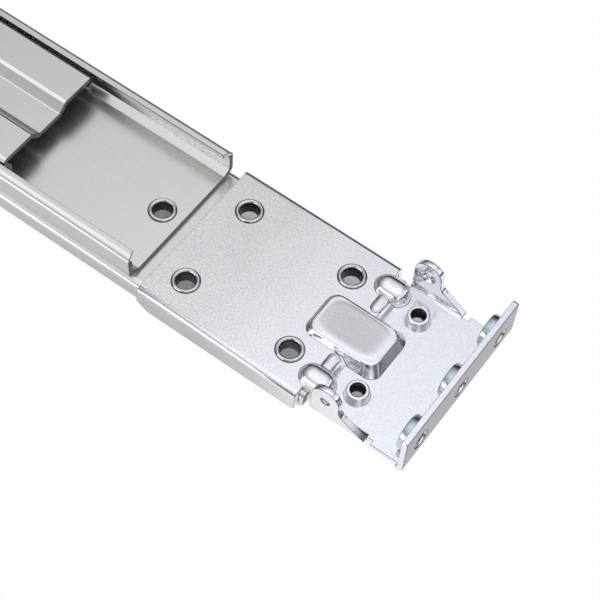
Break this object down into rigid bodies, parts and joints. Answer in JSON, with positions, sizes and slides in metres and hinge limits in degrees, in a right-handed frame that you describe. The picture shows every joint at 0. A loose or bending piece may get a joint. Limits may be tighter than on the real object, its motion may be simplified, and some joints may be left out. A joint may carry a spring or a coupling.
{
  "type": "sliding server rail",
  "caption": "Ball-bearing rack rail: steel channel with lips over a sliding hat-section rail, a riveted stamped end bracket and a slotted depth bracket, each with a bolt flange.",
  "frame": {"origin": "centre of the middle post hole, on the outer face of the riveted bracket's flange", "axes": "+X along the rail, out of the riveted bracket's flange; +Y across the rail, along the row of post holes; +Z out of the rail's open side, towards the server"},
  "size_m": [0.67, 0.0447, 0.0251],
  "materials": {
    "galvanised_strip": "bright rolled galvanised strip, drawn out along the rail",
    "zinc_plate": "matte zinc plate with a fine grain",
    "plated_steel": "shiny nickel plate on the eyelets, nuts and rivets",
    "bearing_steel": "polished ball steel",
    "cage_steel": "smooth spring strip",
    "nylon": "natural nylon",
    "lever_plastic": "moulded black acetal"
  },
  "bodies": {
    "cabinet_side": {"outer_rail": "galvanised_strip", "base_channel": "galvanised_strip", "rear_bracket": "zinc_plate", "bracket_eyelets": "plated_steel", "rail_eyelets": "plated_steel", "rear_flange_nuts": "plated_steel", "slot_rivets": "plated_steel", "slot_washers": "nylon", "cage_stop_rivets": "plated_steel", "closing_buffer": "nylon"},
    "depth_bracket": {"front_bracket": "zinc_plate", "front_flange_nuts": "plated_steel"},
    "server_side": {"server_rail": "galvanised_strip", "lever_rivet": "plated_steel"},
    "near_cage": {"ball_cage_near": "cage_steel", "balls_near": "bearing_steel"},
    "far_cage": {"ball_cage_far": "cage_steel", "balls_far": "bearing_steel"},
    "lever": {"release_lever": "lever_plastic", "lever_spring": "plated_steel"}
  },
  "joints": [
    {"name": "depth_slide", "type": "slide", "parent": "cabinet_side", "child": "depth_bracket", "axis": [-1, 0, 0], "range_m": [0, 0.1]},
    {"name": "server_slide", "type": "slide", "parent": "cabinet_side", "child": "server_side", "axis": [-1, 0, 0], "range_m": [0, 0.38]},
    {"name": "near_cage_slide", "type": "slide", "parent": "cabinet_side", "child": "near_cage", "axis": [-1, 0, 0], "range_m": [0, 0.19]},
    {"name": "far_cage_slide", "type": "slide", "parent": "cabinet_side", "child": "far_cage", "axis": [-1, 0, 0], "range_m": [0, 0.19]},
    {"name": "lever_hinge", "type": "hinge", "parent": "server_side", "child": "lever", "pos_m": [-0.2216, 0.0088, 0], "axis": [0, 0, 1], "range_deg": [0, 10], "stiffness_Nm_per_rad": 0.02, "springref_deg": -11.46}
  ],
  "couplings": [
    {"joint": "near_cage_slide", "follows": "server_slide", "ratio": 0.5},
    {"joint": "far_cage_slide", "follows": "server_slide", "ratio": 0.5}
  ]
}
